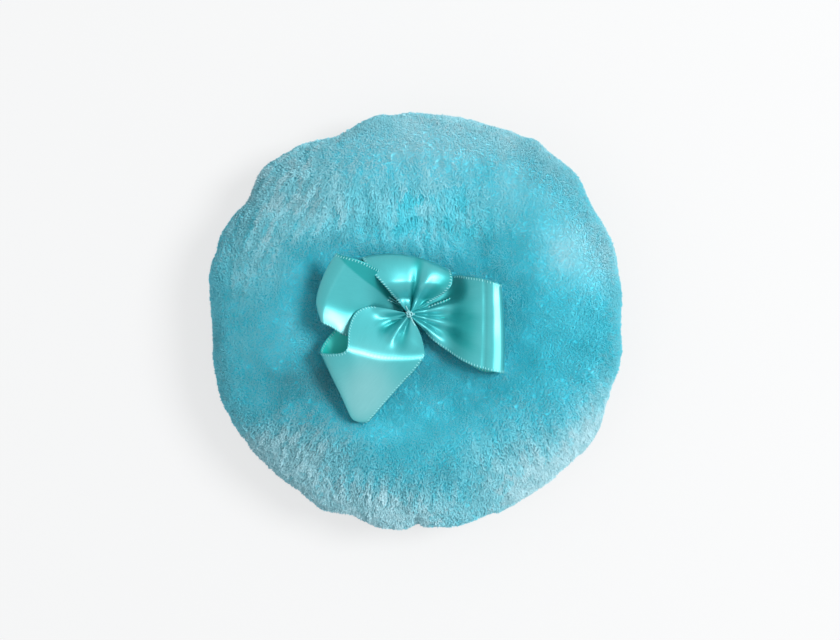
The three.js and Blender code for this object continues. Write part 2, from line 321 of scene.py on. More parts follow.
pile = {
    "sectors": (6, 3),  # top and bottom, as the next two
    "tuftSpacing": (0.5 * mm, 0.7 * mm),
    "bedGrid": ((110, 340), (60, 160)),
    "bedInnerRows": 12,
    "bedDepth": 0.85 * mm,
    "bedLock": 0.4,  # added depth, under long locks and at the rim
    "bedRim": 1.2,
    "bedWall": 0.3 * mm,
    "bedGap": 0.2 * mm,
    "skinGrid": (90, 60),
    "poleGap": 0.02,
    "pushFrom": 0.6 * mm,  # outside the cloth's edge, where the rim's lobes begin
    "upright": (0.6, 0.7, 0.3),  # how much more, from what share of the radius, over what share
    "underFill": (0.4, 0.62, 0.12),  # share of tufts where the puff lies, from what share, over what share
    "underLean": 0.5,  # how far the nap goes round under the rim
    "floorGap": 0.05 * mm,
    "bluntFibres": 8,
    "fineFibres": 4,
    "tuftKinds": 6,
    "tuftRadius": 0.16,  # a tuft is measured in shares of its fibres' length
    "spotShare": 0.6,
    "bluntRadius": 0.038,
    "fineRadius": 0.03,
    "bluntTall": (0.9, 1.0),
    "fineTall": (0.86, 1.06),
    "tipSpread": (0.5, 1.2),
    "tipStray": 0.04,
    "fibreMark": (0.1, 0.9),  # sets each fibre's own tone
    "cornerStep": (0.05, 0.02),  # keeps a fibre's corners apart on the paint's map
    "longNap": 0.55,  # added length where the locks are long
    "longRim": 0.3,
    "laidDrop": 0.4,
    "lengthWave": 0.08,
    "rimWave": 0.12,
    "rimStart": (0.9, 0.1),  # share of the rim's radius, and over what share
    # painted sheen: the rim's fibres paler and greyer, from what share of the radius and over what share,
    # and by how much
    "rimPaintedSheenFrom": (0.86, 0.14),
    "rimPaintedSheenTone": 0.08,
    "rimPaintedSheenChalk": 0.25,
    "baseTone": 0.27,
    "baseChalk": 0.06,
    "baseLock": 0.2,
    "seed": 41,
    # the inputs of the tree that plants and combs the fibres
    "comb": {
        "Fibre Length": 3.4 * mm,  # what stands clear of the pile's dense bed
        "Length Spread": 0.06,
        "Wave Size": 6 * mm,
        "Wave Middle": 0.6,
        "Warp Scale": 420.0,
        "Warp Size": 1.2 * mm,
        "Lock Size": 1.2 * mm,
        "Lock Pull": 0.05,
        "Lock Lean": 0.08,
        "Plain Lean": 0.35,  # share of it where there are no locks
        "Lean Gain": 3.0,
        "Lock Draw": 0.75,
        "Lock Tone": 0.5,
        "Heading Step": math.radians(30),
        "Stray Scale": 190.0,
        "Stray Lean": 0.12,
        "Cloud Size": 6.5 * mm,
        "Cloud Tone": 0.6,
        "Tone Spread": 0.08,
        "Fibre Share": 0.6,
        "Tuft Share": 0.3,
        "Nap Shade": -0.4,
        "Fibre Shade": 0.12,
    },
    # dye from deep to pale at the root and the tip, the roots lighter than the tips as painted fill light
    # against the shade deep in the pile, and the chalky bloom over it
    "rootDyeAndFill": [(0.0, (0.028, 0.42, 0.52)), (0.14, (0.046, 0.59, 0.71)), (0.5, (0.125, 0.79, 0.91)),
                (1.0, (0.42, 0.89, 0.96))],
    "tipDye": [(0.0, (0.022, 0.37, 0.46)), (0.14, (0.035, 0.53, 0.645)), (0.5, (0.105, 0.72, 0.84)),
               (1.0, (0.36, 0.84, 0.93))],
    "chalkDye": ((0.19, 0.40, 0.45), (0.56, 0.76, 0.81)),
    "chalkShare": 0.88,
    "chalkBands": 4,
    "toneRange": (0.03, 0.97),  # within a band
    "riseRange": (0.02, 0.93),  # start and length of the fibre on the paint's map
    "patchEdge": 1.4,
    "patchStep": 1.7,  # shifts the streaks of each patch
    "streaks": [(1.8, 1.9), (1.2, 3.1), (0.8, 4.7)],  # size (mm) and rate of the streaks that end a patch
    # where, half sizes and rise (mm) of the fur that laps the bow's low edges
    "laps": [((13, -13.5), (8, 3.5), 1.5), ((-12.5, -29), (7, 4), 1.6), ((-24, 6), (2.5, 7), 0.8)],
    # where, half sizes (mm from the knot), lean heading and share, tone, chalk, locks; the tone and chalk
    # steps are partly the pile's patchy colour and partly painted light and shade, and the darker patch
    # below left of the bow is a painted shadow
    "napPatches": [
        ((2, 27), (21, 11), -80, 1.0, 0.3, 0.08, 0.85),
        ((4, 43), (22, 8), -80, 0.08, 0.46, 0.65, 0.3),
        ((4, 51), (24, 4), 80, 0.42, 0.0, 0.0, 0.3),
        ((-27, 31), (16, 12), -115, 0.95, 0.16, 0.75, 0.95),
        ((-38, 14), (9, 10), -105, 0.6, 0.08, 0.5, 0.7),
        ((-39, -8), (12, 14), 60, 0.15, 0.0, 0.2, 0.15),
        ((-26, -2), (9, 12), 30, 0.25, 0.02, 0.0, 0.05),
        ((-24, -18), (12, 7), 40, 0.3, -0.24, 0.25, 0.1),
        ((-29, -33), (15, 9), -125, 0.8, 0.2, 1.1, 0.95),
        ((-9, -46), (21, 8), -100, 0.9, 0.34, 1.1, 1.0),
        ((31, -38), (17, 12), -70, 0.9, 0.4, 0.9, 0.9),
        ((46, -26), (9, 11), -65, 0.6, 0.4, 0.65, 0.8),
        ((37, -6), (13, 12), 20, 0.2, -0.07, -0.1, 0.05),
        ((41, 15), (11, 10), 200, 0.35, 0.48, 0.4, 0.1),
        ((30, 34), (13, 12), 215, 0.35, 0.2, 0.4, 0.1),
        ((8, -27), (20, 9), -85, 0.3, 0.04, 0.0, 0.3),
    ],
}


def rimShare(q, start, over):
    return smooth((np.sin(q) - start) / over)


def pileSurface(below, start, stop, rows, columns):
    rim, pole = math.pi / 2, pile["poleGap"]
    turn = np.linspace(rim, math.pi - pole, rows) if below else np.linspace(pole, rim, rows)
    radius = form["pileRadius"] * np.sin(turn)
    height = pileBottom(radius) if below else pileTop(radius)
    # the pile stands square to its own surface, more upright away from the rim
    run, drop = np.gradient(radius), np.gradient(height)
    stand = np.stack([-drop, run], -1)
    if not below:
        more, fadeFrom, fadeOver = pile["upright"]
        stand[:, 1] += np.abs(run) * more * (1 - smooth((radius / form["pileRadius"] - fadeFrom) / fadeOver))
    stand /= np.linalg.norm(stand, axis=-1, keepdims=True)
    stand[0 if below else -1] = (1, 0)
    q, a = np.meshgrid(turn, np.linspace(start, stop, columns), indexing="ij")
    around = np.stack([np.cos(a), np.sin(a), np.zeros_like(a)], -1)
    up = np.array([0, 0, 1.0])
    pushFrom = pile["pushFrom"]
    share = smooth((radius - clothRadius - pushFrom) / (form["pileRadius"] - clothRadius - pushFrom))
    push = share[:, None] * rimPush(a)
    tip = around * (radius[:, None] + push)[..., None] + up * height[:, None, None]
    way = around * stand[:, 0][:, None, None] + up * stand[:, 1][:, None, None]
    if not below:
        for (x, y), (wide, high), rise in pile["laps"]:
            apart = ((tip[..., 0] / mm - x) / wide) ** 2 + ((tip[..., 1] / mm - y) / high) ** 2
            tip = tip + up * (rise * mm * np.exp(-apart))[..., None]
    return q, tip, way


def napAt(q, tip, way, below):
    lean = np.zeros_like(tip)
    tone, chalk, lock = (np.full_like(q, pile[name]) for name in ("baseTone", "baseChalk", "baseLock"))
    for index, patch in enumerate(pile["napPatches"]):
        (x, y), (wide, high), heading, leanShare, toneStep, chalkStep, lockStep = patch
        cosine, sine = math.cos(math.radians(heading)), math.sin(math.radians(heading))
        right, up = tip[..., 0] / mm - x, tip[..., 1] / mm - y
        across = up * cosine - right * sine
        streak = sum(size * lockStep * np.sin(across * rate + index * pile["patchStep"] + rate)
                     for size, rate in pile["streaks"])
        right, up = right + streak * cosine, up + streak * sine
        weight = np.exp(-((right / wide) ** 2 + (up / high) ** 2) ** pile["patchEdge"])
        lean += weight[..., None] * np.array([cosine, sine, 0]) * leanShare
        # tone and chalk steps: partly the pile's own patches, partly painted light and shade
        tone += weight * toneStep
        chalk += weight * chalkStep
        lock += weight * (lockStep - pile["baseLock"])
    # painted sheen: the rim is paler and greyer
    atRim = rimShare(q, *pile["rimPaintedSheenFrom"])
    chalk += pile["rimPaintedSheenChalk"] * atRim
    tone += pile["rimPaintedSheenTone"] * atRim
    if below:
        lean *= smooth(1 - (q - math.pi / 2) / pile["underLean"])[..., None]
    lean = lean - way * np.sum(lean * way, -1, keepdims=True)
    return lean, np.clip(tone, 0, 1), np.clip(chalk, 0, 1), np.clip(lock, 0, 1)


def skinPatch(name, below, start, stop):
    rows, columns = pile["skinGrid"]
    long = pile["comb"]["Fibre Length"]
    q, tip, way = pileSurface(below, start, stop, rows, columns)
    lean, tone, chalk, lock = napAt(q, tip, way, below)
    lean = lean * long
    atRim = rimShare(q, *pile["rimStart"])
    laid = np.linalg.norm(lean, axis=-1) / long
    tall = 1 + pile["longNap"] * lock + pile["longRim"] * atRim
    tall = tall * (1 - pile["laidDrop"] * np.clip(laid, 0, 1))
    wave = pile["lengthWave"] + pile["rimWave"] * atRim
    fill = np.ones_like(q)
    if below:
        thin, fillFrom, fillOver = pile["underFill"]
        fill = thin + (1 - thin) * rimShare(q, fillFrom, fillOver)
    mesh = meshFrom(name, tip.reshape(-1, 3), gridFaces(rows, columns))
    for label, values in (("lay", way * (long * tall)[..., None]), ("lean", lean)):
        setAttribute(mesh, label, values, "FLOAT_VECTOR")
    for label, values in (("tone", tone), ("chalk", chalk), ("lock", lock), ("wave", wave), ("fill", fill)):
        setAttribute(mesh, label, values)
    return mesh


def tuftCollection():
    store = bpy.data.collections.new("tufts")
    rng = np.random.default_rng(pile["seed"])
    markStep, endStep = pile["cornerStep"]
    for kind in range(pile["tuftKinds"]):
        points, faces, coords = [], [], []
        for fibre in range(pile["bluntFibres"] + pile["fineFibres"]):
            blunt = fibre < pile["bluntFibres"]
            spot = rng.normal(size=2) * pile["tuftRadius"] * pile["spotShare"]
            tip = spot * rng.uniform(*pile["tipSpread"]) + rng.normal(size=2) * pile["tipStray"]
            tall = rng.uniform(*pile["bluntTall" if blunt else "fineTall"])
            facing = rng.uniform(0, 2 * math.pi)
            mark = rng.uniform(*pile["fibreMark"])
            wide = pile["bluntRadius" if blunt else "fineRadius"]
            middle, end = (tip, tall) if blunt else (spot, 0.0)
            first = len(points)
            for corner in range(3):
                turn = facing + corner * 2 * math.pi / 3
                points.append((middle[0] + wide * math.cos(turn), middle[1] + wide * math.sin(turn), end))
                coords.append((mark + markStep * (corner - 1), abs(end - endStep * corner), end))
            points.append((*(spot if blunt else tip), 0.0 if blunt else tall))
            coords.append((mark, points[-1][2], points[-1][2]))
            ring = [first, first + 1, first + 2]
            for corner in range(3):
                low, high = ring[corner], ring[(corner + 1) % 3]
                faces.append((high, low, first + 3) if blunt else (low, high, first + 3))
            if blunt:
                faces.append(tuple(ring))
        mesh = meshFrom("tuft%d" % kind, points, faces)
        setAttribute(mesh, "fibre", coords, "FLOAT_VECTOR")
        store.objects.link(bpy.data.objects.new(mesh.name, mesh))
    return store


def plushTree():
    tree, given = geometryTree("plush", {
        "Spacing": "Float", "Seed": "Int", "Tufts": "Collection", **dict.fromkeys(pile["comb"], "Float")})
    start, spacing, thick = given["Geometry"], given["Spacing"], given["Fibre Length"]
    lay, lean, fibre, rootPlace = (start.named(label) for label in ("lay", "lean", "fibre", "rootPlace"))
    tone, chalk, lock, wave, fill, chosen, dye = (
        start.named(label, "FLOAT") for label in ("tone", "chalk", "lock", "wave", "fill", "band", "dye"))
    mark, shown, rise = (fibre.part(axis) for axis in "XYZ")
    place = start.node("GeometryNodeInputPosition")
    length = lay.apply("LENGTH")
    grey = (0.5, 0.5, 0.5)

    def store(geometry, label, kind, value, domain="POINT"):
        return start.node("GeometryNodeStoreNamedAttribute", {"data_type": kind, "domain": domain},
                          {"Geometry": geometry, "Name": label, "Value": value})

    def chance(low, high, seed, kind="FLOAT"):
        values = {"Min": low, "Max": high, "Seed": seed}
        return start.node("FunctionNodeRandomValue", {"data_type": kind}, values)

    points = start.node("GeometryNodeDistributePointsOnFaces", {"distribute_method": "POISSON"}, {
        "Mesh": start, "Distance Min": spacing, "Density Max": 3.0 / (spacing * spacing),
        "Density Factor": fill, "Seed": given["Seed"]})
    points = start.node("GeometryNodeSetPosition", values={"Geometry": points, "Offset": lay * -1.0})
    points = store(points, "rootPlace", "FLOAT_VECTOR", place)
    points = store(points, "band", "FLOAT", chance(0.0, 1.0, 5))
    points = store(points, "dye", "FLOAT", chance(-0.5, 0.5, 6))
    uneven = 1.0 + (place.noise(1.0 / given["Wave Size"], 1.0) - given["Wave Middle"]) * wave
    tall = length * uneven * (1.0 - chance(0.0, 1.0, 7) * given["Length Spread"])
    aligned = start.node("FunctionNodeAlignRotationToVector", {"axis": "Z"}, {"Vector": lay})
    spin = start.node("FunctionNodeAxisAngleToRotation", values={
        "Axis": (0, 0, 1), "Angle": chance(0.0, 6.283, 8)})
    turned = start.node("FunctionNodeRotateRotation", {"rotation_space": "LOCAL"}, {
        "Rotation": aligned, "Rotate By": spin})
    tufts = start.node("GeometryNodeCollectionInfo", values={
        "Collection": given["Tufts"], "Separate Children": True, "Reset Children": True})
    planted = start.node("GeometryNodeInstanceOnPoints", values={
        "Points": points, "Instance": tufts, "Pick Instance": True,
        "Instance Index": chance(0, pile["tuftKinds"] - 1, 9, "INT"), "Rotation": turned,
        "Scale": start.node("ShaderNodeCombineXYZ", values={0: thick, 1: thick, 2: tall})})
    planted = start.node("GeometryNodeRealizeInstances", values={"Geometry": planted})

    # locks are drawn out straight along the lean, to the nearest of a few headings
    warp = rootPlace.noise(given["Warp Scale"], 2.0, "Color") - grey
    spread = rootPlace + warp * given["Warp Size"]
    step = given["Heading Step"]
    heading = (lean.part("Y").apply("ARCTAN2", lean.part("X")) + step * 0.5).apply("SNAP", step)
    leanWay = start.node("ShaderNodeCombineXYZ", values={
        0: heading.apply("COSINE"), 1: heading.apply("SINE")})
    leaning = (lean.apply("LENGTH") / thick * given["Lean Gain"]).clamp()
    onWay = spread.apply("DOT_PRODUCT", leanWay)
    spread = spread - leanWay * (onWay * leaning * given["Lock Draw"])
    cell = {"Vector": spread, "Scale": 1.0 / given["Lock Size"]}
    centre = start.node("ShaderNodeTexVoronoi", values=cell, out="Position")
    tint = start.node("ShaderNodeTexVoronoi", values=cell, out="Color")
    combedLock = lock * leaning
    bend = rise * rise
    stray = rootPlace.noise(given["Stray Scale"], 2.0, "Color") - grey
    gathered = (centre - spread) * (given["Lock Pull"] * lock * rise)
    splayed = (tint - grey) * (given["Lock Lean"] * (given["Plain Lean"] + lock) * length * bend)
    strayed = stray * (given["Stray Lean"] * length * bend)
    moved = gathered + lean * bend + splayed + strayed
    combed = start.node("GeometryNodeSetPosition", values={"Geometry": planted, "Offset": moved})
    # fibres shade with the nap, not one by one
    facing = lay * (1.0 / length) + moved * (given["Nap Shade"] / length)
    facing = facing + start.node("GeometryNodeInputNormal") * given["Fibre Shade"]
    combed = start.node("GeometryNodeSetMeshNormal", {"mode": "FREE", "domain": "POINT"}, {
        "Mesh": combed, "Custom Normal": facing.apply("NORMALIZE")})
    toneSpread = given["Tone Spread"]
    tone = tone + (mark - 0.5) * toneSpread * given["Fibre Share"] + dye * toneSpread * given["Tuft Share"]
    tone = tone + (tint.part("Z") - 0.5) * combedLock * given["Lock Tone"]
    tone = tone + (rootPlace.noise(1.0 / given["Cloud Size"], 2.0) - 0.5) * given["Cloud Tone"]
    # chalk bands side by side, each with every tone in it
    # in combed fur a whole lock is chalky, elsewhere single tufts are
    last = pile["chalkBands"] - 1.0
    pick = tint.part("Y") * combedLock + chosen * (1.0 - combedLock)
    band = (chalk * last + pick).apply("FLOOR").clamp(0.0, last)
    riseStart, riseLength = pile["riseRange"]
    coords = start.node("ShaderNodeCombineXYZ", values={
        0: (band + tone.clamp(*pile["toneRange"])) / pile["chalkBands"], 1: riseStart + shown * riseLength})
    mapped = store(combed, "OFBake", "FLOAT2", coords, "CORNER")
    clear = place.apply("MAXIMUM", (-1.0, -1.0, pile["floorGap"]))  # no fibre dips under the floor
    mapped = start.node("GeometryNodeSetPosition", values={"Geometry": mapped, "Position": clear})
    closeTree(tree, given, mapped)
    return tree


def plushColour(tone, chalk, rise):
    # the roots' lighter colour is painted fill light in the pile's shade
    dyed = rise.mix(tone.ramp(pile["rootDyeAndFill"]), tone.ramp(pile["tipDye"]))
    return (chalk * rise * pile["chalkShare"]).mix(dyed, tone.mix(*pile["chalkDye"]))


def plushFibre():
    wire = newMaterial("plushFibre")
    place = wire.node("ShaderNodeUVMap", {"uv_map": "OFBake"})
    across = place.part("X") * pile["chalkBands"]
    band = across.apply("FLOOR")
    return finishSurface(wire, {
        "Base Color": plushColour(across - band, band / (pile["chalkBands"] - 1.0), place.part("Y")),
        "Roughness": 0.62, "Specular IOR Level": 0.3, "Sheen Weight": 0.3, "Sheen Roughness": 0.45})


def plushBed():
    wire = newMaterial("plushBed")
    place = wire.objectPlace()
    fine = place.noise(1100.0, 3.0)
    cloud = place.noise(1 / pile["comb"]["Cloud Size"], 2.0) - 0.5
    tone = (wire.painted("tone") + cloud * pile["comb"]["Cloud Tone"]).clamp()
    return finishSurface(wire, {
        # the bed takes mostly the roots' light colour: painted fill light against the shade under the fibres
        "Base Color": plushColour(tone, wire.painted("chalk"), fine * 0.5),
        "Normal": fine.bump(0.3 * mm, 0.4), "Roughness": 0.85, "Specular IOR Level": 0.2,
        "Sheen Weight": 0.3, "Sheen Roughness": 0.45})


def closedRing(name, outer, inner):
    # a closed band: its fine outer face, its plain inner face and the two walls between them
    rows, columns = outer.shape[:2]
    count, innerRows = rows * columns, inner.shape[0]
    faces = gridFaces(rows, columns, True)
    faces += [tuple(count + i for i in reversed(f)) for f in gridFaces(innerRows, columns, True)]
    for outerRow, innerRow, back in ((0, 0, False), (rows - 1, innerRows - 1, True)):
        for column in range(columns):
            after = (column + 1) % columns
            wall = (outerRow * columns + after, outerRow * columns + column,
                    count + innerRow * columns + column, count + innerRow * columns + after)
            faces.append(tuple(reversed(wall)) if back else wall)
    return meshFrom(name, np.concatenate([outer.reshape(-1, 3), inner.reshape(-1, 3)]), faces)


def faceOutwards(mesh, merge=False):
    bm = bmesh.new()
    bm.from_mesh(mesh)
    if merge:
        bmesh.ops.remove_doubles(bm, verts=bm.verts, dist=0.001 * mm)
    bmesh.ops.recalc_face_normals(bm, faces=bm.faces)
    bm.to_mesh(mesh)
    bm.free()
    smoothFaces(mesh)


def layBeds():
    material = plushBed()
    for below in (False, True):
        rows, columns = pile["bedGrid"][below]
        q, tip, way = pileSurface(below, 0, 2 * math.pi * (columns - 1) / columns, rows, columns)
        lean, tone, chalk, lock = napAt(q, tip, way, below)
        atRim = rimShare(q, *pile["rimStart"])
        depth = pile["bedDepth"] * (1 + pile["bedLock"] * lock + pile["bedRim"] * atRim)
        outer = tip - way * depth[..., None]
        pick = np.linspace(0, rows - 1, pile["bedInnerRows"]).round().astype(int)
        inner = outer[pick].copy()
        reach = np.linalg.norm(inner[..., :2], axis=-1)
        inner[..., :2] *= (np.minimum(reach, clothRadius - pile["bedWall"]) / reach)[..., None]
        flat = np.linalg.norm(inner[..., :2], axis=-1)
        gap, wall, surface = pile["bedGap"], pile["bedWall"], outer[pick][..., 2]
        if below:
            inner[..., 2] = np.maximum(clothBottom(flat) - gap, surface + wall)
        else:
            inner[..., 2] = np.minimum(clothTop(flat) + gap, surface - wall)
        name = "bottomPileBed" if below else "topPileBed"
        piece = newObject(name, closedRing(name, outer, inner), material)
        for label, values in (("tone", tone), ("chalk", chalk)):
            setAttribute(piece.data, label, np.concatenate([values.ravel(), values[pick].ravel()]))
        faceOutwards(piece.data)
        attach(piece, "puff")
        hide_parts("bottom_pile" if below else "top_pile")
    print("pile beds laid")


def growPlush():
    fibre, tree, tufts = plushFibre(), plushTree(), tuftCollection()
    spare = ("lay", "lean", "tone", "chalk", "lock", "wave", "fill", "rootPlace", "band", "dye", "fibre")
    total = 0
    for below, count in enumerate(pile["sectors"]):
        for sector in range(count):
            name = "%sPile%d" % ("bottom" if below else "top", sector + 1)
            start = 2 * math.pi * sector / count
            mesh = skinPatch(name + "Skin", below, start, start + 2 * math.pi / count)
            piece = grown(name, mesh, tree, {
                "Spacing": pile["tuftSpacing"][below], "Seed": pile["seed"] + sector + 10 * below,
                "Tufts": tufts, **pile["comb"]}, fibre, spare)
            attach(piece, "puff")
            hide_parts("bottom_pile" if below else "top_pile")
            total += len(piece.data.polygons)
    print("plush grown:", total, "fibre faces")


layBeds()
growPlush()


# satin bow: four loops drawn together at the knot, the same form as their solids

ribbon = {
    "width": 22.0,  # mm, as all lengths of the bow
    "thickness": 0.24,
    "solidThickness": 0.45,
    "clearance": 0.3,  # over the pile at the waist, and at the ends
    "endClearance": 0.6,
    "rootRadius": 1.8,
    "rootWidth": 2.2,
    "plyStep": 1.1,
    "layerRise": 2.0,
    "centreHeight": 31.0,
    "centreRadius": 0.5,
    "drawnReach": 2.4,
    "drawnNarrow": 0.6,
    "drawnFold": 0.3,
    "underFolds": 5,
    "steepest": 14,  # slope of those folds
    "foldShare": 0.9,
    "foldFrom": (0.52, 0.1),  # share of the ribbon's length, and over what share, as the next
    "cupEnd": (0.45, 0.2),
    "reverseFrom": (0.2, 0.15),  # share of the loop's reach, and over what share, as the next
    "swingFrom": (0.3, 0.3),
    "cupRise": 0.45,  # over what share of the reach, as the next
    "tuckRise": 0.2,
    "faceFade": 6,
    "edgeBlend": 0.6,
    "rushPower": 1.25,
    "fallPower": 1.1,
    "rampPower": 1.6,
    "pleatPower": 1.5,
    # the next is for the patches of painted shade and sheen
    "shadeAndSheenPower": 1.5,
    "rows": 120,
    "columns": 96,
    "threadRate": (5200.0, 420.0, 1.0),  # of the weave across and along, per metre
    "tickSpacing": 0.72,
    "tickSize": (1.0, 0.32, 0.4),
    "tickInset": 0.42,
    "tickRows": 14,  # rows at each end that the gathers hide
    "bend": (1.0, 5.0),  # from the knot, where a lifted loop bends
    "facetSlope": (0.3, 0.06),  # in the middle, and how much more at the left edge
    "tuckWidth": 0.4,
    # painted shade on the tucked strip
    "tuckPaintedShade": 0.5,
    "cupSoft": 0.42,
    # painted shade in the pleat valleys
    "pleatPaintedShade": 0.45,
    "pleatFade": 3,
    # satin from painted shade through its own colour to a painted pale reflection, for the valleys and the
    # tops of its threads
    "satinDark": [(0.0, (0.006, 0.285, 0.295)), (0.5, (0.032, 0.365, 0.39)), (1.0, (0.15, 0.44, 0.46))],
    "satinLight": [(0.0, (0.012, 0.36, 0.37)), (0.5, (0.062, 0.475, 0.505)), (1.0, (0.25, 0.56, 0.58))],
    # lighter than the face: painted fill light inside the loops
    "reverseDyeAndFill": ((0.010, 0.54, 0.50), (0.020, 0.68, 0.62)),
    "selvedgeDye": (0.012, 0.3, 0.32),
    "tickDye": ((0.15, 0.56, 0.59), (0.40, 0.80, 0.82)),
    "selvedgeFrom": (10.1, 10.6),  # off the ribbon's middle line
}
# heading and tilt in degrees; edges: share of the reach and half width, right and left along the heading;
# lift: right and left edge; rays: heading off the loop's own, half width, height and reach of each pleat;
# ripples: place along, width, height; tuck: where the right edge is folded down;
# facet: where the fold starts to fall; patches of painted shade and sheen: place and width along, place and
# width across, step
plainLoop = {
    "spread": 1, "lift": (0, 0), "crestSlant": 0, "crestFacet": 0, "crestRun": 1, "openSlant": (0, 0),
    "shear": 0, "foldSlant": 0, "drawn": 1, "sharp": 0, "rush": 0, "settle": 0.6, "cup": 0, "cupFrom": 0,
    "ramp": 0, "swing": 0, "swingLift": 0, "tuck": (0, 0, 0), "facet": (1, 0), "tipRound": 0, "pleatEnd": 99,
    "ripples": [], "shadeAndSheenPatches": [],
}
# what each loop has of its own
loops = {
    "left": {"heading": 166, "reach": 21.8, "opening": 3.8, "tilt": -17, "crest": 0.87, "crestSlant": 0.08,
             "foldBulge": 2.3, "layer": 0, "drawn": 0, "sharp": 0.6, "rush": 0.6, "cup": 1.8,
             "cupFrom": 0.08, "ramp": 0.7, "tuck": (-1.4, 0.62, 0.02),
             "shadeAndSheenPatches": [((0.8, 0.35), (0.8, 0.6), 0.25)],
             "edges": ([(0, 1.1), (0.1, 4.6), (0.33, 8.0), (0.53, 10.0), (0.8, 11.0), (1, 10.6)],
                       [(0, 1.1), (0.3, 4.2), (0.62, 7.2), (0.85, 5.6), (1, 4.9)]),
             "rays": [(10, 9, -0.9, 7)]},
    "top": {"heading": 95, "reach": 13.8, "lift": (0.3, 0), "opening": 5, "tilt": 4, "crest": 0.5,
            "foldSlant": 2.4, "foldBulge": 2.2, "layer": 1, "swing": 4.0, "swingLift": 2.4,
            "edges": ([(0, 1.1), (0.1, 4.2), (0.25, 7.4), (0.45, 9.4), (0.7, 10.3), (1, 10.2)],
                      [(0, 1.1), (0.3, 4.1), (0.6, 7.2), (0.85, 9.4), (1, 10.2)]),
            "rays": [(28, 18, 1.4, 8), (-14, 7, -1.7, 6), (-29, 8, 1.2, 7), (-52, 10, -1.2, 6)]},
    "right": {"heading": -9, "reach": 22.2, "spread": 0.8, "lift": (0, -1.2), "opening": 6.2, "tilt": 2,
              "crest": 0.95, "foldSlant": -1.9, "foldBulge": 0.4, "layer": 1, "swing": -0.8,
              "facet": (0.88, 0.33), "shadeAndSheenPatches": [((0.52, 0.18), (-0.1, 0.8), -0.5)],
              "ripples": [(0.36, 0.15, -1.6), (0.785, 0.016, -0.35)],
              "edges": ([(0, 1.1), (0.17, 4.5), (0.36, 6.8), (0.6, 9.0), (0.85, 9.9), (1, 10.0)],
                        [(0, 1.1), (0.15, 6.0), (0.35, 10.2), (0.6, 10.9), (0.8, 10.8), (1, 10.2)]),
              "rays": [(35, 8, -0.8, 6), (21, 8, 1.2, 8), (7, 7, -0.6, 6), (-5, 7, 1.2, 7),
                       (-18, 7, -0.6, 6), (-31, 7, 1.1, 6)]},
    "lower": {"heading": 228, "reach": 24.8, "spread": 0.5, "opening": 6.0, "tilt": -4, "crest": 0.46,
              "crestSlant": -0.3, "crestFacet": 0.055, "crestRun": 0.68, "openSlant": (-0.47, -0.12),
              "shear": 0.27, "foldSlant": 4.1, "foldBulge": 0.4, "layer": 2, "sharp": 0.3, "rush": 0.05,
              "tipRound": 14, "pleatEnd": 6.5, "shadeAndSheenPatches": [((0.75, 0.32), (0.35, 0.9), 0.4)],
              "edges": ([(0, 1.6), (0.06, 5.0), (0.14, 7.6), (0.28, 9.8), (0.53, 10.2), (0.78, 8.0),
                         (1, 10.8)],
                        [(0, 1.6), (0.033, 5.8), (0.085, 8.0), (0.13, 8.9), (0.2, 9.1), (0.5, 8.5),
                         (0.9, 8.8), (1, 9.0)]),
              "rays": [(-56, 9, 0.8, 5.5), (-38, 8, -0.6, 5), (-20, 9, -1.3, 5.5), (5, 9, 1.3, 6),
                       (26, 12, -0.9, 5.5)]},
}
waistHeight = float(pileTop(0)) / mm + ribbon["clearance"] + ribbon["solidThickness"]


def smoothCurve(stops, share):
    # a smooth line through the stops
    at, value = (np.array(c, float) for c in zip(*stops))
    slope = np.gradient(value, at)
    index = np.clip(np.searchsorted(at, share, side="right") - 1, 0, len(at) - 2)
    step = at[index + 1] - at[index]
    t = np.clip((share - at[index]) / step, 0, 1)
    low = (2 * t ** 3 - 3 * t ** 2 + 1) * value[index] + (t ** 3 - 2 * t ** 2 + t) * step * slope[index]
    return low + (3 * t ** 2 - 2 * t ** 3) * value[index + 1] + (t ** 3 - t ** 2) * step * slope[index + 1]


def underGathers(side, fan, length):
    # folds that take up the ribbon's full width where it is drawn together under the loop
    steep = np.linspace(0, ribbon["steepest"], 200)
    wave = np.cos(np.linspace(0, 2 * math.pi, 81))
    stretch = np.mean(np.sqrt(1 + (steep[:, None] * wave) ** 2), axis=1)
    wide = ribbon["rootWidth"] + (ribbon["width"] - ribbon["rootWidth"]) * fan
    each = wide / ribbon["underFolds"]
    high = np.interp(ribbon["width"] / wide, stretch, steep) * each / (2 * math.pi)
    foldFrom, foldOver = ribbon["foldFrom"]
    share = smooth((length - foldFrom) / foldOver) * ribbon["foldShare"]
    return share * high * np.cos(math.pi * ribbon["underFolds"] * (side + 1))


